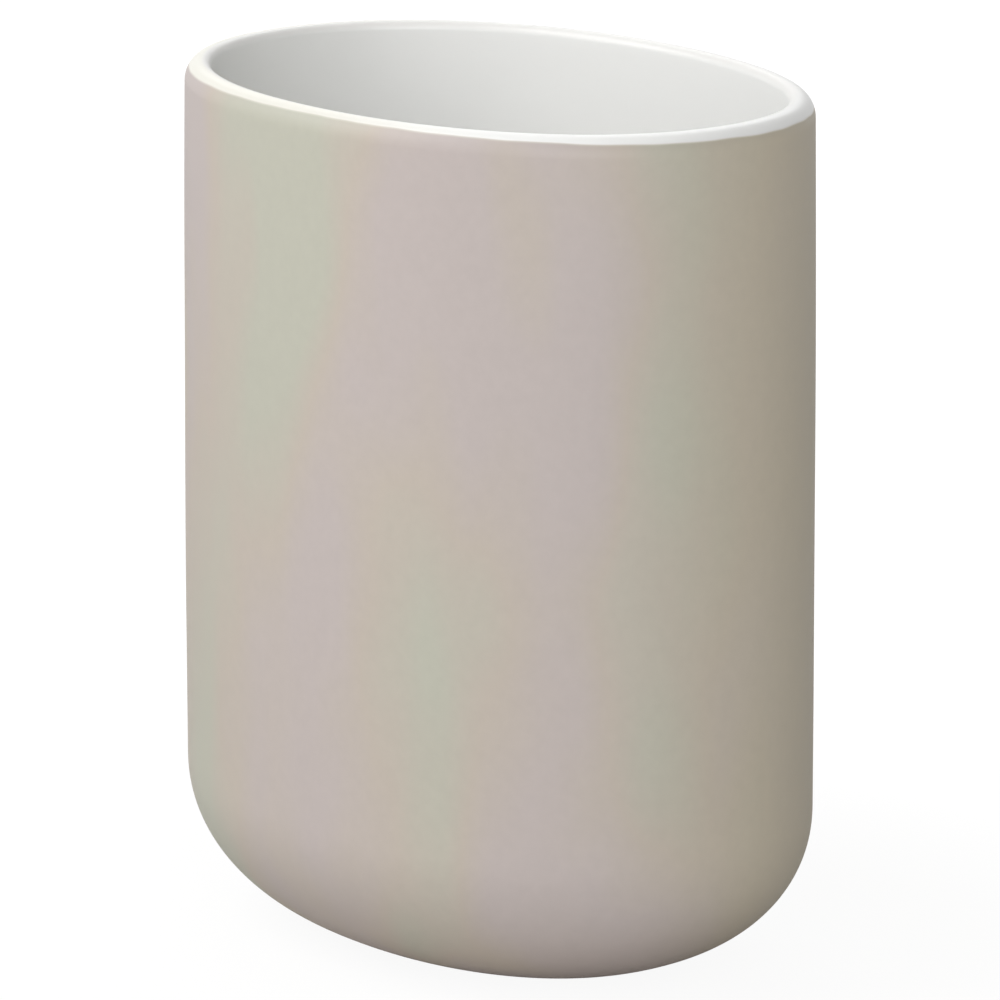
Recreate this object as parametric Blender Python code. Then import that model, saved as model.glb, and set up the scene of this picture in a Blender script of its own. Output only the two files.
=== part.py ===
# Toothbrush holder: an oval stoneware cup with a rounded lip and a rounded base, glazed satin beige
# outside and gloss white inside. It stands on four silicone pads in the recess of its foot ring.
#
# The long way of the oval lies along X, the short way along Y, and the table is Z = 0. Lengths are in
# metres. Each layer of the wall is the same vessel, drawn at another depth below the outside surface,
# and a layer is a loft through oval rows that follow its section from one end to the other.

import math

import bmesh
import bpy

# The cup
HEIGHT = 0.110  # table to the crown of the lip
LENGTH = 0.090  # across the lip the long way
WIDTH = 0.0652  # across the lip the short way
WALL = 0.0034  # clay and both coats
LEAN = 0.0005  # the wall stands this much further out at the table than at the lip
LEAN_POWER = 3  # 1 is a straight taper, and a higher power draws the wall in nearer the lip
OVAL_POWER = 2.11  # 2 is an ellipse, and a higher power fills the corners

# The lip: a quarter ellipse outside its crown and a quarter round inside it
LIP_DROP = 0.0027  # from the crown down the outer side
LIP_INNER_RADIUS = 0.0012

# The rounded base
ROUNDING_HEIGHT = 0.0207
LEVEL_LENGTH = 0.032  # the oval inside the foot where the rounding would run out level
LEVEL_WIDTH = 0.0194
ROUNDING_POWER = 2.1
FLOOR = 0.0044  # from the underside in the recess to the inside of the cup, with both coats

# The coats of glaze
GLAZE = 0.0004
SEAT_GAP = 0.0003  # left between faces that touch on the real cup
GLAZE_LINE_TURN = math.radians(53)  # how far the white runs from the crown down the outer side

# The foot ring, sponged bare of glaze, and the recess inside it
FOOT_LENGTH = 0.048
FOOT_RIM = 0.0026
FOOT_CHAMFER = 0.0003
FOOT_CLEARANCE = 0.0004  # the pads hold the ring this far off the table
RECESS_DEPTH = 0.0012

# The pads
PAD_RADIUS = 0.0035
PAD_ROUNDING = 0.0007
PAD_CLEARANCE = 0.0005  # between a pad's side and the foot ring
PAD_BEARING = math.radians(45)  # of each pad round its oval, from the long way

# Facets
OVAL_POINTS = 56
PAD_POINTS = 24
ROUNDING_STEPS = 9
WALL_STEPS = 3
LIP_STEPS = 8
PAD_STEPS = 3
GLAZE_EDGE_STEPS = 4
SHARP_ANGLE = math.radians(40)

# Worked out from the sizes above
COAT = GLAZE + SEAT_GAP  # from a glazed surface to the clay under it
LIP_OUTER_WIDTH = WALL - LIP_INNER_RADIUS
RECESS_ROOF = FOOT_CLEARANCE + RECESS_DEPTH
FLOOR_TOP = RECESS_ROOF + FLOOR


def power(value, exponent):
    """A cosine or sine raised to an exponent with its sign kept."""
    return math.copysign(abs(value) ** exponent, value)


def oval(half_length, half_width, z, points=OVAL_POINTS, exponent=OVAL_POWER):
    """One row of a loft: a superellipse at height z, anticlockwise seen from above."""
    row = []
    for index in range(points):
        angle = math.tau * index / points
        x = half_length * power(math.cos(angle), 2 / exponent)
        y = half_width * power(math.sin(angle), 2 / exponent)
        row.append((x, y, z))
    return row


def wall_halves(depth, z):
    """Half length and half width of the wall at height z, at this depth below its outside."""
    lean = LEAN * (1 - (z / HEIGHT) ** LEAN_POWER)
    return LENGTH / 2 + lean - depth, WIDTH / 2 + lean - depth


def rounding(depth, level_z, end_length=LEVEL_LENGTH):
    """Rows from the wall down round the base, to the row that is end_length long."""
    rise = ROUNDING_HEIGHT - depth
    level_halves = LEVEL_LENGTH / 2, LEVEL_WIDTH / 2
    widest = wall_halves(depth, level_z)[0]
    end_share = (end_length / 2 - level_halves[0]) / (widest - level_halves[0])
    last_angle = math.acos(end_share ** (ROUNDING_POWER / 2))
    rows = []
    for step in range(ROUNDING_STEPS + 1):
        angle = last_angle * step / ROUNDING_STEPS
        out_share = math.cos(angle) ** (2 / ROUNDING_POWER)
        down_share = math.sin(angle) ** (2 / ROUNDING_POWER)
        z = level_z + rise * (1 - down_share)
        halves = [
            level + (wall - level) * out_share
            for level, wall in zip(level_halves, wall_halves(depth, z))
        ]
        rows.append(oval(*halves, z))
    return rows


def wall(depth, level_z, lip_drop):
    """Rows up the wall, between the top of the rounding and the foot of the lip."""
    low = level_z + ROUNDING_HEIGHT - depth
    high = HEIGHT - lip_drop
    levels = [low + (high - low) * step / WALL_STEPS for step in range(1, WALL_STEPS)]
    return [oval(*wall_halves(depth, z), z) for z in levels]


def lip(depth, first_turn, last_turn, steps=LIP_STEPS):
    """Rows over the lip, at this depth, between two turns measured from its crown.

    A turn is positive down the outer side and negative down the inner side.
    """
    rows = []
    for step in range(steps + 1):
        turn = first_turn + (last_turn - first_turn) * step / steps
        if turn > 0:
            across, down = LIP_OUTER_WIDTH - depth, LIP_DROP - depth
        else:
            across = down = LIP_INNER_RADIUS - depth
        inset = LIP_OUTER_WIDTH - across * math.sin(turn)
        z = HEIGHT - depth - down * (1 - math.cos(turn))
        rows.append(oval(*wall_halves(inset, z), z))
    return rows


def loft(name, rows, material, ring=False):
    """A solid through rows of equal length: its ends are capped, or joined to each other as a ring."""
    mesh = bpy.data.meshes.new(name)
    shape = bmesh.new()
    loops = [[shape.verts.new(point) for point in row] for row in rows]
    if ring:
        loops.append(loops[0])
    else:
        shape.faces.new(reversed(loops[0]))
        shape.faces.new(loops[-1])
    for lower, upper in zip(loops, loops[1:]):
        for here in range(len(lower)):
            after = (here + 1) % len(lower)
            shape.faces.new((lower[here], lower[after], upper[after], upper[here]))
    shape.to_mesh(mesh)
    shape.free()
    mesh.shade_smooth()
    mesh.set_sharp_from_angle(angle=SHARP_ANGLE)
    mesh.materials.append(material)
    return mesh


def place(name, mesh, parent, location=(0, 0, 0)):
    """Adds a named piece to the holder."""
    piece = bpy.data.objects.new(name, mesh)
    piece.location = location
    piece.parent = parent
    bpy.context.scene.collection.objects.link(piece)


def finish(name, colour, roughness, coat=0.0):
    """A plain Principled finish."""
    material = bpy.data.materials.new(name)
    material.use_nodes = True
    material.diffuse_color = (*colour, 1)
    shader = material.node_tree.nodes["Principled BSDF"]
    shader.inputs["Base Color"].default_value = (*colour, 1)
    shader.inputs["Roughness"].default_value = roughness
    shader.inputs["Metallic"].default_value = 0.0
    shader.inputs["Coat Weight"].default_value = coat
    return material


def clear_scene():
    for old in list(bpy.data.objects):
        bpy.data.objects.remove(old, do_unlink=True)


def foot_halves():
    """Half length and half width of the outside of the foot ring, where the clay's rounding meets it."""
    row = rounding(COAT, COAT, FOOT_LENGTH)[-1]
    return row[0][0], row[OVAL_POINTS // 4][1]


def clay_body():
    """From the recess roof out over the foot ring, up the outside, over the lip and down inside."""
    half_length, half_width = foot_halves()

    def ring_row(inset, z):
        return oval(half_length - inset, half_width - inset, z)

    rows = [
        ring_row(FOOT_RIM, RECESS_ROOF + COAT),
        ring_row(FOOT_RIM, FOOT_CLEARANCE + FOOT_CHAMFER),
        ring_row(FOOT_RIM - FOOT_CHAMFER, FOOT_CLEARANCE),
        ring_row(FOOT_CHAMFER, FOOT_CLEARANCE),
        ring_row(0, FOOT_CLEARANCE + FOOT_CHAMFER),
    ]
    rows += reversed(rounding(COAT, COAT, FOOT_LENGTH))
    rows += wall(COAT, COAT, LIP_DROP)
    rows += lip(COAT, math.radians(90), math.radians(-90))
    rows += reversed(wall(WALL - COAT, FLOOR_TOP - COAT, LIP_INNER_RADIUS))
    rows += rounding(WALL - COAT, FLOOR_TOP - COAT)
    return rows


def outside_coat():
    """From the foot ring up to the glaze line, and back down along the clay."""
    end_length = FOOT_LENGTH + 2 * SEAT_GAP
    line_turn = GLAZE_LINE_TURN + SEAT_GAP / LIP_OUTER_WIDTH
    rows = list(reversed(rounding(0, 0, end_length)))
    rows += wall(0, 0, LIP_DROP)
    rows += lip(0, math.radians(90), line_turn, GLAZE_EDGE_STEPS)
    rows += lip(GLAZE, line_turn, math.radians(90), GLAZE_EDGE_STEPS)
    rows += reversed(wall(GLAZE, GLAZE, LIP_DROP))
    rows += rounding(GLAZE, GLAZE, end_length)
    return rows


def inside_coat():
    """From under the floor up along the clay to the glaze line, and back over the lip to the floor."""
    rows = list(reversed(rounding(WALL - GLAZE, FLOOR_TOP - GLAZE)))
    rows += wall(WALL - GLAZE, FLOOR_TOP - GLAZE, LIP_INNER_RADIUS)
    rows += lip(GLAZE, math.radians(-90), GLAZE_LINE_TURN)
    rows += lip(0, GLAZE_LINE_TURN, math.radians(-90))
    rows += reversed(wall(WALL, FLOOR_TOP, LIP_INNER_RADIUS))
    rows += rounding(WALL, FLOOR_TOP)
    return rows


def recess_coat():
    """A film across the recess roof, with the rounded rim that fired glaze has."""
    foot_length, foot_width = foot_halves()
    rows = []
    for step in range(GLAZE_EDGE_STEPS + 1):
        turn = math.pi * step / GLAZE_EDGE_STEPS
        inset = FOOT_RIM + SEAT_GAP + GLAZE / 2 * (1 - math.sin(turn))
        z = RECESS_ROOF + GLAZE / 2 * (1 - math.cos(turn))
        rows.append(oval(foot_length - inset, foot_width - inset, z))
    return rows


def pad():
    """A round bumper: flat on the table, rounded round its foot, straight up to the recess roof."""
    rows = []
    for step in range(PAD_STEPS + 1):
        turn = math.radians(90) * step / PAD_STEPS
        radius = PAD_RADIUS - PAD_ROUNDING * (1 - math.sin(turn))
        rows.append(oval(radius, radius, PAD_ROUNDING * (1 - math.cos(turn)), PAD_POINTS, 2))
    rows.append(oval(PAD_RADIUS, PAD_RADIUS, RECESS_ROOF - SEAT_GAP, PAD_POINTS, 2))
    return rows


def pad_centre():
    """Where the front right pad stands: on the oval that keeps every pad clear of the foot ring."""
    foot_length, foot_width = foot_halves()
    inset = FOOT_RIM + PAD_CLEARANCE + PAD_RADIUS
    x = (foot_length - inset) * math.cos(PAD_BEARING) ** (2 / OVAL_POWER)
    y = (foot_width - inset) * math.sin(PAD_BEARING) ** (2 / OVAL_POWER)
    return x, y


def build():
    clear_scene()
    holder = bpy.data.objects.new("toothbrush_holder", None)
    bpy.context.scene.collection.objects.link(holder)

    clay = finish("unglazed stoneware", (0.56, 0.49, 0.41), 0.85)
    beige = finish("satin beige glaze", (0.56, 0.50, 0.43), 0.45)
    white = finish("gloss white glaze", (0.86, 0.86, 0.85), 0.08, 0.5)
    silicone = finish("clear silicone", (0.72, 0.72, 0.70), 0.40)

    place("stoneware_body", loft("stoneware_body", clay_body(), clay), holder)
    place("outer_glaze", loft("outer_glaze", outside_coat(), beige, ring=True), holder)
    place("inner_glaze", loft("inner_glaze", inside_coat(), white), holder)
    place("underside_glaze", loft("underside_glaze", recess_coat(), beige), holder)

    pad_mesh = loft("pad", pad(), silicone)
    x, y = pad_centre()
    for side, y_sign in (("front", -1), ("back", 1)):
        for hand, x_sign in (("left", -1), ("right", 1)):
            place(f"pad_{side}_{hand}", pad_mesh, holder, (x_sign * x, y_sign * y, 0))


build()
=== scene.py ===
# An oval stoneware toothbrush holder, glazed satin beige outside and gloss white inside and over its lip,
# standing on four silicone pads. Sizes in the dictionaries are millimetres; the long way of the oval is X,
# the front is -Y and the table is Z = 0.

import math

import bpy
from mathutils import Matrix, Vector, noise


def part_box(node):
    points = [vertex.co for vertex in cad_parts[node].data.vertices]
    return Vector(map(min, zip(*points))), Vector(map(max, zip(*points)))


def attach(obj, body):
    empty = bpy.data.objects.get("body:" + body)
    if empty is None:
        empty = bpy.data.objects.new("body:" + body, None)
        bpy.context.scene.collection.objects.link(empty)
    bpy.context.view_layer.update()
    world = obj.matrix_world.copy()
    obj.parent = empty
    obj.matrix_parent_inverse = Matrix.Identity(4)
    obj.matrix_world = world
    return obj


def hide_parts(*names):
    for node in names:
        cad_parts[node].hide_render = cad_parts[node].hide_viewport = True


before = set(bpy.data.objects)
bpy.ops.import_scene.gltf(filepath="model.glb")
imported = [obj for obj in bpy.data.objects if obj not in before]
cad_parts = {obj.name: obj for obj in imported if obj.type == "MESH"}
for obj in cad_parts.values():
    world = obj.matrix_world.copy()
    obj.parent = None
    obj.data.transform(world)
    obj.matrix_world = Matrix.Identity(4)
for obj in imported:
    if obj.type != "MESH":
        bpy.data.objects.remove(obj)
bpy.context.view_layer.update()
print("frame loaded with", len(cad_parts), "solids")

mm = 0.001
noiseLow, noiseHigh = 0.3, 0.7  # nearly all values of a noise texture lie between these


def hexColour(text):  # an sRGB hex value as a linear colour
    channels = []
    for place in (0, 2, 4):
        value = int(text[place:place + 2], 16) / 255
        channels.append(value / 12.92 if value <= 0.04045 else ((value + 0.055) / 1.055) ** 2.4)
    return (*channels, 1)


def patternScale(size):  # the Scale of a texture whose features are this many millimetres across
    return 1 / (size * mm)


def addNode(tree, kind, settings=None, inputs=None):
    # An input is a value, or the socket that feeds it. A Mix has its share at 0 and what it starts from and
    # turns into at 2 and 3, or at 6 and 7 for colours.
    node = tree.nodes.new("ShaderNode" + kind)
    for name, value in (settings or {}).items():
        if name == "stops":
            ramp = node.color_ramp
            while len(ramp.elements) < len(value):
                ramp.elements.new(0.5)
            for element, (position, colour) in zip(ramp.elements, value):
                element.position = position
                element.color = colour
        else:
            setattr(node, name, value)
    for name, value in (inputs or {}).items():
        if isinstance(value, bpy.types.NodeSocket):
            tree.links.new(value, node.inputs[name])
        else:
            node.inputs[name].default_value = value
    return node


def newMaterial(name):  # an empty node tree with its output, and the object's own coordinates in metres
    material = bpy.data.materials.new(name)
    material.use_nodes = True
    tree = material.node_tree
    tree.nodes.clear()
    place = addNode(tree, "TexCoord").outputs["Object"]
    return material, tree, place


# The cup's form has the same sections as its solids, in finer rows.

cup = {
    "height": 110.0,
    "length": 90.0,  # across the lip
    "width": 65.2,
    "wall": 3.4,
    "lean": 0.5,  # the wall stands this much further out at the table than at the lip
    "leanPower": 3,  # 1 is a straight taper, and a higher power draws the wall in nearer the lip
    "ovalPower": 2.11,
    "lipDrop": 2.7,  # from the crown of the lip down its outer side, a quarter ellipse
    "lipInner": 1.2,  # radius of its inner side
    "baseHeight": 20.7,  # of the rounding
    "levelLength": 32.0,  # of the oval where the rounding would run out level
    "levelWidth": 19.4,
    "basePower": 2.1,
    "glaze": 0.4,  # thickness of a coat
    "clayDepth": 0.7,  # from a glazed surface to the clay
    "floorTop": 6.0,
    "lineTurn": 50.5,  # degrees from the crown of the lip to the edge of the white
    "footLength": 48.0,
    "footRim": 2.6,
    "footLift": 0.4,  # the pads hold the foot ring this far off the table
    "recessRoof": 1.6,
    "points": 288,  # round each oval
    "baseSteps": 44,
    "wallSteps": 34,
    "floorSteps": 12,
    "lipSteps": 24,  # over the outer side of a glazed lip, and over both sides of the clay's
    "lipInnerSteps": 22,
}

firing = {  # how far the fired cup strays from its drawing
    "sag": 0.10,  # the wall, always inwards
    "sagWave": 30.0,
    "lineTilt": (-0.125, -0.342),  # rise of the edge of the white, by cosine and sine of the way round,
    "lineSway": (-0.121, -0.219),  # and of twice the way round: the cup was dipped a little askew
    "lineStray": 0.09,  # and its edge wanders
    "lineWave": 3.6,
}


def ovalPoint(index, halves, z):
    angle = math.tau * index / cup["points"]
    exponent = 2 / cup["ovalPower"]
    across, along = math.cos(angle), math.sin(angle)
    x = halves[0] * math.copysign(abs(across) ** exponent, across)
    y = halves[1] * math.copysign(abs(along) ** exponent, along)
    return Vector((x, y, z))


def ovalRow(halves, z):
    return [ovalPoint(index, halves, z) for index in range(cup["points"])]


def wallHalves(depth, z):  # half length and half width of the wall, this deep below its outside
    lean = cup["lean"] * (1 - (z / cup["height"]) ** cup["leanPower"])
    return cup["length"] / 2 + lean - depth, cup["width"] / 2 + lean - depth


def baseRow(depth, levelZ, angle):  # angle 0 is where the rounding leaves the wall
    outShare = math.cos(angle) ** (2 / cup["basePower"])
    downShare = math.sin(angle) ** (2 / cup["basePower"])
    z = levelZ + (cup["baseHeight"] - depth) * (1 - downShare)
    level = cup["levelLength"] / 2, cup["levelWidth"] / 2
    wall = wallHalves(depth, z)
    return ovalRow([near + (far - near) * outShare for near, far in zip(level, wall)], z)


def baseAngle(depth, levelZ, endLength):  # the angle at which the rounding is this long
    level = cup["levelLength"] / 2
    share = (endLength / 2 - level) / (wallHalves(depth, levelZ)[0] - level)
    return math.acos(share ** (cup["basePower"] / 2))


def baseRows(depth, levelZ, endLength):
    last = baseAngle(depth, levelZ, endLength)
    steps = cup["baseSteps"]
    return [baseRow(depth, levelZ, last * step / steps) for step in range(steps + 1)]


def wallRows(depth, levelZ, lipDrop):  # from just above the rounding to just under the lip
    low = levelZ + cup["baseHeight"] - depth
    high = cup["height"] - lipDrop
    steps = cup["wallSteps"]
    levels = [low + (high - low) * step / steps for step in range(1, steps)]
    return [ovalRow(wallHalves(depth, z), z) for z in levels]


def lineRise(spot):  # of the edge of the white, at this spot of the lip
    way = math.atan2(spot.y, spot.x)
    rise = firing["lineTilt"][0] * math.cos(way) + firing["lineTilt"][1] * math.sin(way)
    rise += firing["lineSway"][0] * math.cos(2 * way) + firing["lineSway"][1] * math.sin(2 * way)
    return rise + firing["lineStray"] * noise.noise(spot / firing["lineWave"])


def lineTurn(index, turn):  # the rows near the edge of the white follow it, and those at the lip's foot stay
    spot = ovalPoint(index, wallHalves(0, cup["height"]), cup["height"])
    slope = cup["lipDrop"] * math.sin(math.radians(cup["lineTurn"])) * math.radians(1)
    pull = max(0, 1 - abs(turn - cup["lineTurn"]) / (90 - cup["lineTurn"]))
    return turn - lineRise(spot) / slope * pull


def lipRow(depth, turn):  # degrees from the crown, positive down the outer side
    outer = cup["wall"] - cup["lipInner"]
    row = []
    for index in range(cup["points"]):
        bent = lineTurn(index, turn)
        across, down = (outer, cup["lipDrop"]) if bent > 0 else (cup["lipInner"], cup["lipInner"])
        inset = outer - (across - depth) * math.sin(math.radians(bent))
        z = cup["height"] - depth - (down - depth) * (1 - math.cos(math.radians(bent)))
        row.append(ovalPoint(index, wallHalves(inset, z), z))
    return row


def lipRows(depth, first, last, steps):
    return [lipRow(depth, first + (last - first) * step / steps) for step in range(steps + 1)]


def discRows(row, steps):  # shrinks a row towards its middle
    middle = Vector((0, 0, row[0].z))
    return [[middle.lerp(point, 1 - step / steps) for point in row] for step in range(1, steps)]


def tagged(rows, sag=0.0, above=-180.0):
    # Each row is given its share of the kiln's sag, and how many degrees of the lip it lies above the edge
    # of the white: -180 is anywhere far below it and 180 is anywhere inside the cup.
    return [(row, sag, above) for row in rows]


def shownLip(turns):  # rows of the lip's glazed surface
    return [(lipRow(0, turn), 1, cup["lineTurn"] - turn) for turn in turns]


def buildLoft(name, rows, ring=False):  # a ring's last row joins its first, and other lofts are closed off
    vertices, sags, turns = [], [], []
    for row, sag, above in rows:
        vertices += row
        sags += [sag] * len(row)
        turns += [above] * len(row)
    count = len(rows[0][0])
    faces = []
    for lower in range(len(rows) if ring else len(rows) - 1):
        upper = (lower + 1) % len(rows)
        for here in range(count):
            after = (here + 1) % count
            faces.append([line * count + place for line, place in
                          ((lower, here), (lower, after), (upper, after), (upper, here))])
    if not ring:
        for line, outward in ((0, -1), (len(rows) - 1, 1)):
            middle = len(vertices)
            row, sag, above = rows[line]
            vertices.append(sum(row, Vector()) / count)
            sags.append(sag)
            turns.append(above)
            for here in range(count):
                edge = [line * count + here, line * count + (here + 1) % count]
                faces.append(edge[::outward] + [middle])
    mesh = bpy.data.meshes.new(name)
    mesh.from_pydata([point * mm for point in vertices], [], faces)
    normals = [vertex.normal.copy() for vertex in mesh.vertices]
    for vertex, normal, sag in zip(mesh.vertices, normals, sags):
        swell = noise.noise(vertex.co / (firing["sagWave"] * mm))
        vertex.co -= normal * sag * firing["sag"] * mm * (0.5 + 0.5 * swell)
    mesh.attributes.new("aboveEdge", "FLOAT", "POINT").data.foreach_set("value", turns)
    mesh.shade_smooth()
    piece = bpy.data.objects.new(name, mesh)
    bpy.context.scene.collection.objects.link(piece)
    return piece


def finishPiece(piece, material, node):  # a piece stands for one solid and moves with the cup
    piece.data.materials.append(material)
    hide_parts(node)
    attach(piece, "root")
    print(piece.name, "made,", len(piece.data.polygons), "faces")


# The two glazes meet on the outer side of the lip, where the white was dipped over the edge of the beige.

meeting = {
    "meltTurns": (-5.5, 5.5),  # degrees of the lip above that edge over which the two melted together
    # How each coat dives under the other, in degrees past the edge and depth, then the tongue of the beige
    # that the white covers, and the hollow of the white over that tongue.
    "lap": ((0.0, 0.0), (0.5, 0.001), (1.0, 0.004), (1.6, 0.010), (2.4, 0.022), (3.4, 0.045), (5.0, 0.09)),
    "tongue": ((7.0, 0.20), (9.0, 0.26), (9.8, 0.34)),
    "tongueHeel": 9.0,  # where it meets the coat's hidden side
    "hollow": ((13.0, 0.30), (11.5, 0.18), (9.0, 0.13), (4.0, 0.12), (-2.0, 0.12)),
    "hollowHeel": 14.0,
    "beigeSteps": 10,  # rows of each coat's hidden side over the lip
    "whiteSteps": 20,
}

beige = {
    "green": "C5C4B5",
    "sand": "CABFB3",
    "mauve": "C9BEBA",
    "driftStops": (0.37, 0.50, 0.61),
    "driftSize": 24.0,  # of the drifts of colour, which run longer down the wall
    "driftStretch": 0.35,
    "driftTilt": (-0.103, 0.109, 0.0),  # radians off upright
    "driftPlace": (0.415, -0.362, -0.205),  # picks the stretch of the pattern that lies on the cup
    "shadedSideTint": "CBC1AB",  # painted tint of warmer light, on the shaded side of the cup
    "shadedSide": 50.0,  # the way that this side faces, in degrees from the right end
    "shadedSideReach": (14.0, 38.0),  # how far out from the middle that starts and is complete
    "shadedSideShare": 0.85,
    "shoulderShade": 0.91,  # painted shade on the shoulder next to the white, which faces up into the light
    "shoulderShadeTurns": (-42.0, -4.0),  # degrees above the edge of the white over which it does
    "thin": "B49B80",  # where the coat ends at the foot and the clay shows through it
    "footHeights": (0.6, 1.1),  # up to which it shows alone, and above which as much as follows
    "lowBaseShare": 0.16,  # of that tone in the lower part of the base, which grows darker and browner towards the bottom
    "lowBaseHeights": (3.0, 16.0),  # up to which that is full, and at which it ends
    "footReach": 0.2,  # the oval where the coat stops is this much longer than the bare ring
    "beadSteps": 8,  # its fired edge there is a half-round bead
    "beadShare": 0.45,  # of the coat's thickness, by which that oval is shorter over the bead
    "fleckSize": 1.6,
    "fleckTones": (0.98, 1.015),
    "peelSize": 0.9,
    "peelHeight": 0.006,
    "rippleSize": 7.0,
    "rippleHeight": 0.015,
    "roughness": (0.42, 0.52),
    "ior": 1.50,
}

white = {
    "body": "F9F9F7",
    "pool": "EFF2F2",  # thick and cool in the bottom
    "poolLevels": (0.06, 0.30),  # shares of the height at which that ends and the body is complete
    "poolStray": 0.012,  # by which clouds in the coat shift those
    "thin": "ECECE9",  # painted shade on the inner wall, on its side away from the light
    "whiterSide": 50.0,  # the way that this side faces, in degrees from the right end
    "innerShadeReach": (-44.0, -6.0),  # how far out that way from the middle the painted shade turns into the body
    "lip": "ECEAE0",  # the outer side of the lip on the side the light falls on: creamy, and darkened by painted shade
    "lipPlain": "F7F7F5",  # and its plain white, beyond that painted shade
    "lipShadeReach": (-24.0, 4.0),  # how far out the same way the first turns into the second
    "rim": "EDECE9",  # the crown of the lip and its inner side: a neutral white, darkened by painted shade
    "rimTurns": (40.0, 70.0),  # degrees above the edge of the white over which the lip turns into the rim
    "bodyTurns": (95.0, 140.0),  # and the rim into the inner wall
    "cloudSize": 18.0,
    "rippleSize": 9.0,
    "rippleHeight": 0.030,
    "roughness": (0.28, 0.35),
    "ior": 1.52,
}


def sideShare(tree, place, side, reach, end=1.0):
    # Goes from 0 to the end value over this reach from the middle of the cup, towards the side that faces
    # this many degrees from its right end.
    turn = math.radians(side)
    out = addNode(tree, "VectorMath", {"operation": "DOT_PRODUCT"}, {
        0: place, 1: (math.cos(turn), math.sin(turn), 0)})
    share = addNode(tree, "MapRange", {"interpolation_type": "SMOOTHSTEP"}, {
        "Value": out.outputs["Value"], "From Min": reach[0] * mm, "From Max": reach[1] * mm, "To Max": end})
    return share.outputs["Result"]


def lipShare(tree, turns, start=0.0, end=1.0):
    # Goes from start to end over these degrees of the lip above the edge of the white.
    above = addNode(tree, "Attribute", {"attribute_name": "aboveEdge"})
    share = addNode(tree, "MapRange", {"interpolation_type": "SMOOTHSTEP"}, {
        "Value": above.outputs["Fac"], "From Min": turns[0], "From Max": turns[1],
        "To Min": start, "To Max": end})
    return share.outputs["Result"]


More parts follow.
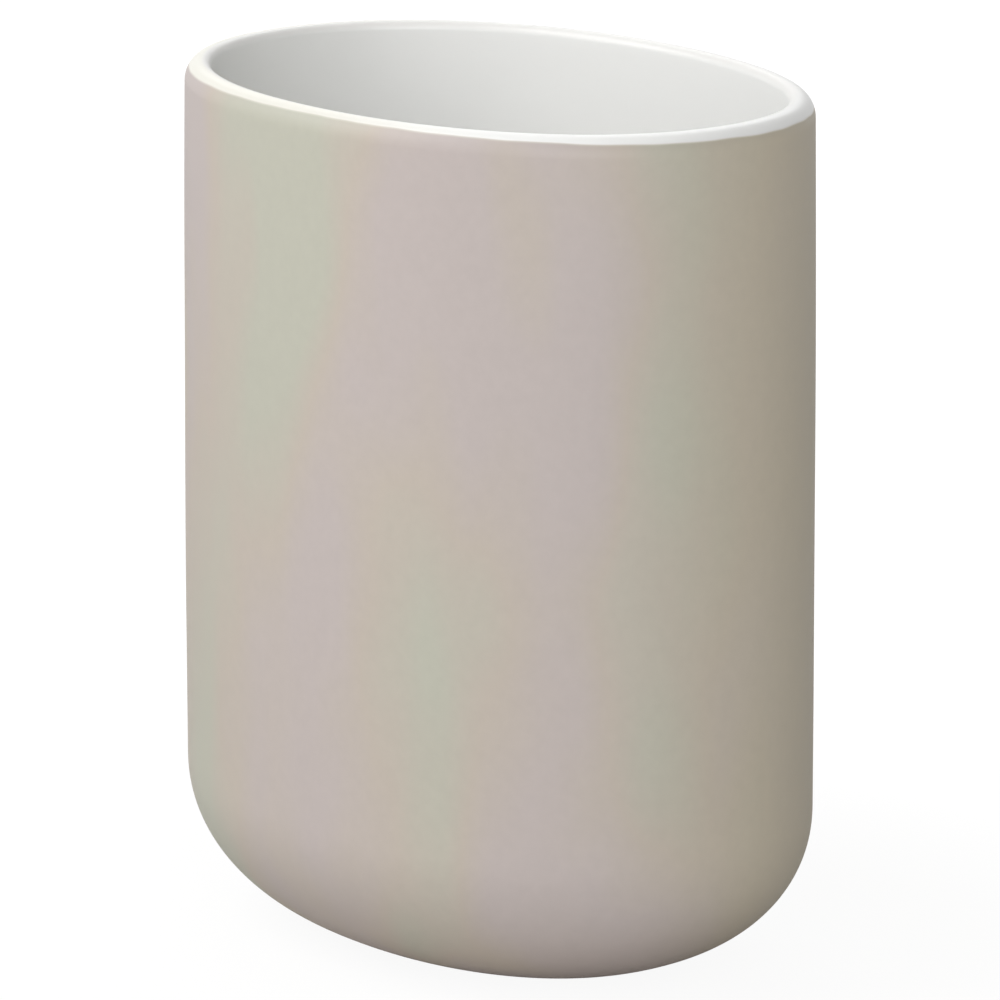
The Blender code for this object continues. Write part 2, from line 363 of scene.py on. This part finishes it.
def makeBeigeGlaze():
    # Satin glaze, dipped and fired: its crystals scatter the light, so it gives a broad soft sheen with no
    # mirror image, and its colour drifts a little as the coat ran down the wall and lay thicker or thinner.
    # It also carries a painted tint of warmer light on its shaded side and painted shade on the shoulder.
    material, tree, place = newMaterial("satin glaze, dipped and fired")
    runs = addNode(tree, "Mapping", inputs={
        "Vector": place, "Location": beige["driftPlace"], "Rotation": beige["driftTilt"],
        "Scale": (1, 1, beige["driftStretch"])})
    drift = addNode(tree, "TexNoise", inputs={
        "Vector": runs.outputs["Vector"], "Scale": patternScale(beige["driftSize"]), "Detail": 2.5,
        "Roughness": 0.45})
    tones = [hexColour(beige[name]) for name in ("green", "sand", "mauve")]
    tint = addNode(tree, "ValToRGB", {"stops": list(zip(beige["driftStops"], tones))}, {
        "Fac": drift.outputs["Fac"]})
    # painted tint of warmer light on the shaded side of the cup
    shadedSideTinted = addNode(tree, "Mix", {"data_type": "RGBA"}, {
        0: sideShare(tree, place, beige["shadedSide"], beige["shadedSideReach"], beige["shadedSideShare"]),
        6: tint.outputs["Color"], 7: hexColour(beige["shadedSideTint"])})
    fleck = addNode(tree, "TexNoise", inputs={
        "Vector": place, "Scale": patternScale(beige["fleckSize"]), "Detail": 4.0, "Roughness": 0.6})
    fleckTone = addNode(tree, "MapRange", inputs={
        "Value": fleck.outputs["Fac"], "From Min": noiseLow, "From Max": noiseHigh,
        "To Min": beige["fleckTones"][0], "To Max": beige["fleckTones"][1]})
    # the random fleck tone, times the painted shade on the shoulder next to the white
    tone = addNode(tree, "Math", {"operation": "MULTIPLY"}, {
        0: fleckTone.outputs["Result"],
        1: lipShare(tree, beige["shoulderShadeTurns"], 1.0, beige["shoulderShade"])})
    mottled = addNode(tree, "VectorMath", {"operation": "SCALE"}, {
        0: shadedSideTinted.outputs[2], "Scale": tone.outputs["Value"]})
    height = addNode(tree, "SeparateXYZ", inputs={0: place})
    footShare = addNode(tree, "MapRange", {"interpolation_type": "SMOOTHSTEP"}, {
        "Value": height.outputs["Z"], "From Min": beige["footHeights"][0] * mm,
        "From Max": beige["footHeights"][1] * mm, "To Min": 1.0, "To Max": 0.0})
    # the lower part of the base turns darker and browner towards the bottom
    lowBaseDarkening = addNode(tree, "MapRange", {"interpolation_type": "SMOOTHSTEP"}, {
        "Value": height.outputs["Z"], "From Min": beige["lowBaseHeights"][0] * mm,
        "From Max": beige["lowBaseHeights"][1] * mm, "To Min": beige["lowBaseShare"], "To Max": 0.0})
    clayShare = addNode(tree, "Math", {"operation": "MAXIMUM"}, {
        0: footShare.outputs["Result"], 1: lowBaseDarkening.outputs["Result"]})
    coat = addNode(tree, "Mix", {"data_type": "RGBA"}, {
        0: clayShare.outputs["Value"], 6: mottled.outputs[0], 7: hexColour(beige["thin"])})
    whiteShare = lipShare(tree, meeting["meltTurns"])
    colour = addNode(tree, "Mix", {"data_type": "RGBA"}, {
        0: whiteShare, 6: coat.outputs[2], 7: hexColour(white["lip"])})
    satin = addNode(tree, "MapRange", inputs={
        "Value": fleck.outputs["Fac"], "From Min": noiseLow, "From Max": noiseHigh,
        "To Min": beige["roughness"][0], "To Max": beige["roughness"][1]})
    roughness = addNode(tree, "Mix", inputs={
        0: whiteShare, 2: satin.outputs["Result"], 3: white["roughness"][1]})
    ripple = addNode(tree, "TexNoise", inputs={
        "Vector": place, "Scale": patternScale(beige["rippleSize"]), "Detail": 2.0})
    rippleBump = addNode(tree, "Bump", inputs={
        "Height": ripple.outputs["Fac"], "Strength": 1.0, "Distance": beige["rippleHeight"] * mm})
    peel = addNode(tree, "TexNoise", inputs={
        "Vector": place, "Scale": patternScale(beige["peelSize"]), "Detail": 2.0})
    peelBump = addNode(tree, "Bump", inputs={
        "Height": peel.outputs["Fac"], "Strength": 1.0, "Distance": beige["peelHeight"] * mm,
        "Normal": rippleBump.outputs["Normal"]})
    shader = addNode(tree, "BsdfPrincipled", inputs={
        "Base Color": colour.outputs[2], "Roughness": roughness.outputs[0], "IOR": beige["ior"],
        "Normal": peelBump.outputs["Normal"]})
    addNode(tree, "OutputMaterial", inputs={"Surface": shader.outputs["BSDF"]})
    return material


def lapRows(side):  # the edge of a coat, diving under the other one: side is 1 down the lip, -1 up it
    return [(lipRow(depth, cup["lineTurn"] + side * past), 1, -side * past) for past, depth in meeting["lap"]]


def makeOuterGlaze():
    end = cup["footLength"] + beige["footReach"]
    glaze, line, steps = cup["glaze"], cup["lineTurn"], cup["lipSteps"]
    shown = tagged(baseRows(0, 0, end)[::-1] + wallRows(0, 0, cup["lipDrop"]), sag=1)
    shown += shownLip([90 + (line - 90) * step / steps for step in range(steps)]) + lapRows(-1)
    hidden = [lipRow(depth, line - past) for past, depth in meeting["tongue"]]
    hidden.append(lipRow(glaze, line - meeting["tongueHeel"]))
    hidden += lipRows(glaze, line, 90, meeting["beigeSteps"])
    hidden += wallRows(glaze, glaze, cup["lipDrop"])[::-1] + baseRows(glaze, glaze, end)
    for step in range(1, beige["beadSteps"]):
        turn = math.pi * step / beige["beadSteps"]
        depth = glaze / 2 * (1 + math.cos(turn))
        reach = end - glaze * math.sin(turn) * beige["beadShare"]
        hidden.append(baseRow(depth, depth, baseAngle(depth, depth, reach)))
    return buildLoft("outerGlaze", shown + tagged(hidden), ring=True)


def makeWhiteGlaze():
    # Gloss glaze, poured and fired: glass over a white body, so it has clear reflections that a slow
    # ripple bends, and its colour changes with the depth of the coat in the bottom; painted shade darkens
    # its lip and the shaded side of its inner wall.
    material, tree, place = newMaterial("gloss glaze, poured and fired")
    height = addNode(tree, "SeparateXYZ", inputs={0: place})
    level = addNode(tree, "MapRange", inputs={
        "Value": height.outputs["Z"], "From Min": 0.0, "From Max": cup["height"] * mm})
    cloud = addNode(tree, "TexNoise", inputs={
        "Vector": place, "Scale": patternScale(white["cloudSize"]), "Detail": 2.0})
    stray = addNode(tree, "MapRange", inputs={
        "Value": cloud.outputs["Fac"], "From Min": noiseLow, "From Max": noiseHigh,
        "To Min": -white["poolStray"], "To Max": white["poolStray"]})
    strayed = addNode(tree, "Math", {"operation": "ADD"}, {
        0: level.outputs["Result"], 1: stray.outputs["Result"]})
    depths = [hexColour(white[name]) for name in ("pool", "body")]
    full = addNode(tree, "ValToRGB", {"stops": list(zip(white["poolLevels"], depths))}, {
        "Fac": strayed.outputs["Value"]})
    # painted shade on the shaded side of the inner wall
    wall = addNode(tree, "Mix", {"data_type": "RGBA"}, {
        0: sideShare(tree, place, white["whiterSide"], white["innerShadeReach"]),
        6: hexColour(white["thin"]), 7: full.outputs["Color"]})
    # painted shade darkens the lip's creamy tone on its lit side
    lip = addNode(tree, "Mix", {"data_type": "RGBA"}, {
        0: sideShare(tree, place, white["whiterSide"], white["lipShadeReach"]),
        6: hexColour(white["lip"]), 7: hexColour(white["lipPlain"])})
    # painted shade on the crown and inner side of the lip
    rim = addNode(tree, "Mix", {"data_type": "RGBA"}, {
        0: lipShare(tree, white["rimTurns"]), 6: lip.outputs[2], 7: hexColour(white["rim"])})
    coat = addNode(tree, "Mix", {"data_type": "RGBA"}, {
        0: lipShare(tree, white["bodyTurns"]), 6: rim.outputs[2], 7: wall.outputs[2]})
    whiteShare = lipShare(tree, meeting["meltTurns"])
    colour = addNode(tree, "Mix", {"data_type": "RGBA"}, {
        0: whiteShare, 6: hexColour(beige["sand"]), 7: coat.outputs[2]})
    gloss = addNode(tree, "MapRange", inputs={
        "Value": cloud.outputs["Fac"], "From Min": noiseLow, "From Max": noiseHigh,
        "To Min": white["roughness"][0], "To Max": white["roughness"][1]})
    roughness = addNode(tree, "Mix", inputs={
        0: whiteShare, 2: beige["roughness"][0], 3: gloss.outputs["Result"]})
    ripple = addNode(tree, "TexNoise", inputs={
        "Vector": place, "Scale": patternScale(white["rippleSize"]), "Detail": 1.0})
    bump = addNode(tree, "Bump", inputs={
        "Height": ripple.outputs["Fac"], "Strength": 1.0, "Distance": white["rippleHeight"] * mm})
    shader = addNode(tree, "BsdfPrincipled", inputs={
        "Base Color": colour.outputs[2], "Roughness": roughness.outputs[0], "IOR": white["ior"],
        "Normal": bump.outputs["Normal"]})
    addNode(tree, "OutputMaterial", inputs={"Surface": shader.outputs["BSDF"]})
    return material


def makeInnerGlaze():
    glaze, line = cup["glaze"], cup["lineTurn"]
    hiddenDepth, hiddenZ = cup["wall"] - glaze, cup["floorTop"] - glaze
    hidden = baseRows(hiddenDepth, hiddenZ, cup["levelLength"])[::-1]
    hidden = discRows(hidden[0], cup["floorSteps"])[::-1] + hidden
    hidden += wallRows(hiddenDepth, hiddenZ, cup["lipInner"])
    hidden += lipRows(glaze, -90, line - meeting["hollowHeel"], meeting["whiteSteps"])
    hidden += [lipRow(depth, line - past) for past, depth in meeting["hollow"]]
    steps, innerSteps = cup["lipSteps"], cup["lipInnerSteps"]
    shown = lapRows(1)[::-1]
    shown += shownLip([line * (1 - step / steps) for step in range(1, steps + 1)])
    shown += shownLip([-90 * step / innerSteps for step in range(1, innerSteps + 1)])
    inside = wallRows(cup["wall"], cup["floorTop"], cup["lipInner"])[::-1]
    inside += baseRows(cup["wall"], cup["floorTop"], cup["levelLength"])
    shown += tagged(inside + discRows(inside[-1], cup["floorSteps"]), sag=1, above=180)
    return buildLoft("innerGlaze", tagged(hidden, above=180) + shown)


beigeGlaze = makeBeigeGlaze()
outerGlaze = makeOuterGlaze()
finishPiece(outerGlaze, beigeGlaze, "outer_glaze")
innerGlaze = makeInnerGlaze()
finishPiece(innerGlaze, makeWhiteGlaze(), "inner_glaze")


# The clay under the coats is bare only on the foot ring.

clay = {
    "body": "BFAA8F",
    "toasted": "A98C6C",
    "toastStops": (0.35, 0.68),
    "cloudSize": 9.0,
    "grit": "8D7459",
    "gritSize": 0.9,  # from speck to speck
    "gritEdge": (0.10, 0.22),  # shares of that distance over which a speck fades out
    "gritShare": 0.7,
    "grainSize": 0.45,
    "grainHeight": 0.05,
    "roughness": (0.82, 0.95),
    "edge": 0.3,  # radius sponged on to the foot ring
    "edgeSteps": 6,
}


def makeStoneware():
    # Stoneware clay, cast, sponged and fired bare: dry and fine-grained, toasted in places by the kiln,
    # with darker grit in it.
    material, tree, place = newMaterial("stoneware, sponged and fired bare")
    cloud = addNode(tree, "TexNoise", inputs={
        "Vector": place, "Scale": patternScale(clay["cloudSize"]), "Detail": 3.0})
    tones = [hexColour(clay[name]) for name in ("body", "toasted")]
    toast = addNode(tree, "ValToRGB", {"stops": list(zip(clay["toastStops"], tones))}, {
        "Fac": cloud.outputs["Fac"]})
    grit = addNode(tree, "TexVoronoi", inputs={
        "Vector": place, "Scale": patternScale(clay["gritSize"])})
    gritShare = addNode(tree, "MapRange", inputs={
        "Value": grit.outputs["Distance"], "From Min": clay["gritEdge"][0], "From Max": clay["gritEdge"][1],
        "To Min": clay["gritShare"], "To Max": 0.0})
    colour = addNode(tree, "Mix", {"data_type": "RGBA"}, {
        0: gritShare.outputs["Result"], 6: toast.outputs["Color"], 7: hexColour(clay["grit"])})
    grain = addNode(tree, "TexNoise", inputs={
        "Vector": place, "Scale": patternScale(clay["grainSize"]), "Detail": 3.0, "Roughness": 0.6})
    roughness = addNode(tree, "MapRange", inputs={
        "Value": grain.outputs["Fac"], "From Min": noiseLow, "From Max": noiseHigh,
        "To Min": clay["roughness"][0], "To Max": clay["roughness"][1]})
    bump = addNode(tree, "Bump", inputs={
        "Height": grain.outputs["Fac"], "Strength": 1.0, "Distance": clay["grainHeight"] * mm})
    shader = addNode(tree, "BsdfPrincipled", inputs={
        "Base Color": colour.outputs[2], "Roughness": roughness.outputs["Result"],
        "Normal": bump.outputs["Normal"]})
    addNode(tree, "OutputMaterial", inputs={"Surface": shader.outputs["BSDF"]})
    return material


def footRow(inset, z):  # a row of the foot, this far in from its outer side
    depth = cup["clayDepth"]
    row = baseRow(depth, depth, baseAngle(depth, depth, cup["footLength"]))
    return ovalRow((row[0].x - inset, row[cup["points"] // 4].y - inset), z)


def makeClayBody():
    depth, edge, lift = cup["clayDepth"], clay["edge"], cup["footLift"]
    roof = footRow(cup["footRim"], cup["recessRoof"] + depth)
    turns = [math.radians(90 * step / clay["edgeSteps"]) for step in range(clay["edgeSteps"] + 1)]
    ring = discRows(roof, cup["floorSteps"])[::-1] + [roof]
    for turn in turns:  # down the inner side of the ring
        ring.append(footRow(cup["footRim"] - edge * (1 - math.cos(turn)), lift + edge * (1 - math.sin(turn))))
    for turn in turns:  # and up its outer side
        ring.append(footRow(edge * (1 - math.sin(turn)), lift + edge * (1 - math.cos(turn))))
    outside = baseRows(depth, depth, cup["footLength"])[::-1]
    outside += wallRows(depth, depth, cup["lipDrop"]) + lipRows(depth, 90, -90, cup["lipSteps"])
    hiddenDepth, floorZ = cup["wall"] - depth, cup["floorTop"] - depth
    inside = wallRows(hiddenDepth, floorZ, cup["lipInner"])[::-1]
    inside += baseRows(hiddenDepth, floorZ, cup["levelLength"])
    inside += discRows(inside[-1], cup["floorSteps"])
    return buildLoft("clayBody", tagged(ring + outside + inside))


clayBody = makeClayBody()
finishPiece(clayBody, makeStoneware(), "stoneware_body")


# A patch of the beige glaze lies in the recess.

patch = {
    "rimGap": 0.08,  # to the bare ring
    "sink": 0.10,  # it fires a little thinner in the middle
    "edgeSteps": 8,
    "steps": 16,  # from its edge to its middle
}


def makeUndersideGlaze():
    glaze = cup["glaze"]
    edge = []
    for step in range(patch["edgeSteps"] + 1):
        turn = math.pi * step / patch["edgeSteps"]
        inset = cup["footRim"] + patch["rimGap"] + glaze / 2 * (1 - math.sin(turn))
        edge.append(footRow(inset, cup["recessRoof"] + glaze / 2 * (1 - math.cos(turn))))
    under = discRows(edge[0], patch["steps"])[::-1]
    for step, row in enumerate(under):
        rise = patch["sink"] * (1 - (step / len(under)) ** 2)
        for point in row:
            point.z += rise
    return buildLoft("undersideGlaze", tagged(under + edge + discRows(edge[-1], patch["steps"])))


undersideGlaze = makeUndersideGlaze()
finishPiece(undersideGlaze, beigeGlaze, "underside_glaze")


# Four silicone pads stand in the recess.

pads = {
    "radius": 3.5,
    "rounding": 0.7,
    "top": 1.57,  # they are stuck up against the glazed roof
    "waist": 0.05,  # the side pulls in by this under the roof
    "waistHeight": 1.1,  # and by half of it here
    "topEdge": (0.08, 0.10),  # the top edge is cut back in by the first, over the height of the second
    "points": 96,
    "roundSteps": 8,
    "discSteps": 5,
    "frost": "CFCFC9",
    "clear": "D9D9D4",
    "frostSize": 0.35,
    "frostHeight": 0.01,
    "roughness": (0.32, 0.42),
    "transmission": 0.55,
    "ior": 1.41,
}


def makeSilicone():
    # Clear silicone, cast in a frosted mould: it lets light into it and scatters it back pale, with a
    # dull skin that picks up dust.
    material, tree, place = newMaterial("clear silicone, cast in a frosted mould")
    frost = addNode(tree, "TexNoise", inputs={
        "Vector": place, "Scale": patternScale(pads["frostSize"]), "Detail": 3.0})
    tone = addNode(tree, "ValToRGB", {"stops": [
        (noiseLow, hexColour(pads["frost"])), (noiseHigh, hexColour(pads["clear"]))]}, {
        "Fac": frost.outputs["Fac"]})
    roughness = addNode(tree, "MapRange", inputs={
        "Value": frost.outputs["Fac"], "From Min": noiseLow, "From Max": noiseHigh,
        "To Min": pads["roughness"][0], "To Max": pads["roughness"][1]})
    bump = addNode(tree, "Bump", inputs={
        "Height": frost.outputs["Fac"], "Strength": 1.0, "Distance": pads["frostHeight"] * mm})
    shader = addNode(tree, "BsdfPrincipled", inputs={
        "Base Color": tone.outputs["Color"], "Roughness": roughness.outputs["Result"], "IOR": pads["ior"],
        "Transmission Weight": pads["transmission"], "Normal": bump.outputs["Normal"]})
    addNode(tree, "OutputMaterial", inputs={"Surface": shader.outputs["BSDF"]})
    return material


def padSections():  # radius and height, from near the middle of its underside to its top edge
    sections = []
    for step in range(pads["roundSteps"] + 1):
        turn = math.radians(90 * step / pads["roundSteps"])
        sections.append((pads["radius"] - pads["rounding"] * (1 - math.sin(turn)),
                         pads["rounding"] * (1 - math.cos(turn))))
    inward, down = pads["topEdge"]
    waistRadius = pads["radius"] - pads["waist"]
    sections += [(pads["radius"] - pads["waist"] / 2, pads["waistHeight"]),
                 (waistRadius, pads["top"] - down), (waistRadius - inward, pads["top"])]
    steps = pads["discSteps"]
    return [(sections[0][0] * step / steps, 0) for step in range(1, steps)] + sections


def makePad(name, node, material):
    low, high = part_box(node)
    middle = (low + high) / 2 / mm
    turns = [math.tau * step / pads["points"] for step in range(pads["points"])]
    rows = [[Vector((middle.x + radius * math.cos(turn), middle.y + radius * math.sin(turn), z))
             for turn in turns] for radius, z in padSections()]
    finishPiece(buildLoft(name, tagged(rows)), material, node)


silicone = makeSilicone()
for side in ("Front", "Back"):
    for hand in ("Left", "Right"):
        makePad("pad" + side + hand, "pad_" + side.lower() + "_" + hand.lower(), silicone)


# The studio: floor, world and lamps.

studio = {
    "floorRadius": 3.0,  # metres
    "floorPoints": 96,
    "floorColour": "CBCBCA",
    "nearGlow": 0.86,  # share of plain white that the camera sees in the floor beside the cup
    "farGlow": 1.0,
    "glowReach": (0.05, 0.16),  # metres from the cup's middle over which the first turns into the second
    "mirrorReach": (0.5, 0.9),  # and over which the glaze comes to mirror the floor as plain white
    "glowStrength": 1.08,
    "backdrop": "FFFFFF",
    "ambient": "FFFFFF",
    "ambientStrength": 0.28,
    "lampColour": "FFFFFF",
}

lamps = {  # azimuth 0 is the front and 90 the right; metres and watts
    "key": {"azimuth": 50, "elevation": 18, "distance": 1.2, "size": 0.9, "power": 6.0},
    "left": {"azimuth": -40, "elevation": 45, "distance": 0.55, "size": 0.4, "power": 1.5},
    "front": {"azimuth": 5, "elevation": 42, "distance": 1.2, "size": 0.9, "power": 1.5},
    "back": {"azimuth": -130, "elevation": 42, "distance": 1.2, "size": 0.9, "power": 2.9},
}


def wayTo(azimuth, elevation):  # from the cup, in degrees
    turn, rise = math.radians(azimuth), math.radians(elevation)
    return Vector((math.sin(turn) * math.cos(rise), -math.cos(turn) * math.cos(rise), math.sin(rise)))


def addFloor():
    mesh = bpy.data.meshes.new("floor")
    turns = [math.tau * step / studio["floorPoints"] for step in range(studio["floorPoints"])]
    rim = [Vector((math.cos(turn), math.sin(turn), 0)) * studio["floorRadius"] for turn in turns]
    mesh.from_pydata(rim, [], [range(len(rim))])
    floor = bpy.data.objects.new("floor", mesh)
    bpy.context.scene.collection.objects.link(floor)
    material, tree, place = newMaterial("white card sweep, rolled smooth")
    path = addNode(tree, "LightPath")
    away = addNode(tree, "VectorMath", {"operation": "LENGTH"}, {0: place})
    glow = addNode(tree, "MapRange", {"interpolation_type": "SMOOTHSTEP"}, {
        "Value": away.outputs["Value"], "From Min": studio["glowReach"][0],
        "From Max": studio["glowReach"][1], "To Min": studio["nearGlow"], "To Max": studio["farGlow"]})
    mirror = addNode(tree, "MapRange", {"interpolation_type": "SMOOTHSTEP"}, {
        "Value": away.outputs["Value"], "From Min": studio["mirrorReach"][0],
        "From Max": studio["mirrorReach"][1]})
    direct = addNode(tree, "Math", {"operation": "MAXIMUM"}, {
        0: path.outputs["Is Camera Ray"], 1: path.outputs["Is Transmission Ray"]})
    directShare = addNode(tree, "Math", {"operation": "MULTIPLY"}, {
        0: glow.outputs["Result"], 1: direct.outputs["Value"]})
    mirrorShare = addNode(tree, "Math", {"operation": "MULTIPLY"}, {
        0: mirror.outputs["Result"], 1: path.outputs["Is Glossy Ray"]})
    share = addNode(tree, "Math", {"operation": "MAXIMUM"}, {
        0: directShare.outputs["Value"], 1: mirrorShare.outputs["Value"]})
    card = addNode(tree, "BsdfDiffuse", inputs={"Color": hexColour(studio["floorColour"])})
    plain = addNode(tree, "Emission", inputs={"Strength": studio["glowStrength"]})
    top = addNode(tree, "MixShader", inputs={
        0: share.outputs["Value"], 1: card.outputs["BSDF"], 2: plain.outputs["Emission"]})
    facing = addNode(tree, "NewGeometry")
    clear = addNode(tree, "BsdfTransparent")  # seen from below, the floor isn't there
    both = addNode(tree, "MixShader", inputs={
        0: facing.outputs["Backfacing"], 1: top.outputs["Shader"], 2: clear.outputs["BSDF"]})
    addNode(tree, "OutputMaterial", inputs={"Surface": both.outputs["Shader"]})
    mesh.materials.append(material)


def addWorld():
    world = bpy.data.worlds.new("studio")
    bpy.context.scene.world = world
    world.use_nodes = True
    tree = world.node_tree
    tree.nodes.clear()
    path = addNode(tree, "LightPath")
    direct = addNode(tree, "Math", {"operation": "MAXIMUM"}, {
        0: path.outputs["Is Camera Ray"], 1: path.outputs["Is Glossy Ray"]})
    seen = addNode(tree, "Math", {"operation": "MAXIMUM"}, {
        0: direct.outputs["Value"], 1: path.outputs["Is Transmission Ray"]})
    ambient = addNode(tree, "Background", inputs={
        "Color": hexColour(studio["ambient"]), "Strength": studio["ambientStrength"]})
    backdrop = addNode(tree, "Background", inputs={
        "Color": hexColour(studio["backdrop"]), "Strength": 1.0})
    mixed = addNode(tree, "MixShader", inputs={
        0: seen.outputs["Value"], 1: ambient.outputs["Background"], 2: backdrop.outputs["Background"]})
    addNode(tree, "OutputWorld", inputs={"Surface": mixed.outputs["Shader"]})


def addLamps():
    aim = Vector((0, 0, cup["height"] / 2 * mm))
    for name, lamp in lamps.items():
        light = bpy.data.lights.new(name + "Softbox", "AREA")
        light.size = lamp["size"]
        light.energy = lamp["power"]
        light.color = hexColour(studio["lampColour"])[:3]
        softbox = bpy.data.objects.new(name + "Softbox", light)
        away = wayTo(lamp["azimuth"], lamp["elevation"])
        softbox.location = aim + away * lamp["distance"]
        softbox.rotation_euler = (-away).to_track_quat("-Z", "Y").to_euler()
        softbox.visible_camera = False
        bpy.context.scene.collection.objects.link(softbox)


addFloor()
addWorld()
addLamps()
print("studio lit by", len(lamps), "softboxes")


# The camera has the photograph's viewing angle.

view = {
    "azimuth": 50.29,
    "elevation": 13.73,
    "distance": 924.39,
    "aside": 0.49,  # of the aim from the cup's middle
    "above": 1.11,
    "lens": 266.78,
    "sensor": 36.0,
    "clip": (0.05, 20.0),  # metres
}


def addCamera():
    back = wayTo(view["azimuth"], view["elevation"])
    turn = math.radians(view["azimuth"])
    right = Vector((math.cos(turn), math.sin(turn), 0))
    up = back.cross(right)
    data = bpy.data.cameras.new("camera")
    data.lens = view["lens"]
    data.sensor_width = view["sensor"]
    data.clip_start, data.clip_end = view["clip"]
    camera = bpy.data.objects.new("camera", data)
    middle = Vector((0, 0, cup["height"] / 2))
    camera.location = (middle + right * view["aside"] + up * view["above"] + back * view["distance"]) * mm
    camera.rotation_euler = (-back).to_track_quat("-Z", "Y").to_euler()
    bpy.context.scene.collection.objects.link(camera)
    bpy.context.scene.camera = camera


addCamera()
bpy.context.scene.view_settings.view_transform = "Standard"
print("camera set")
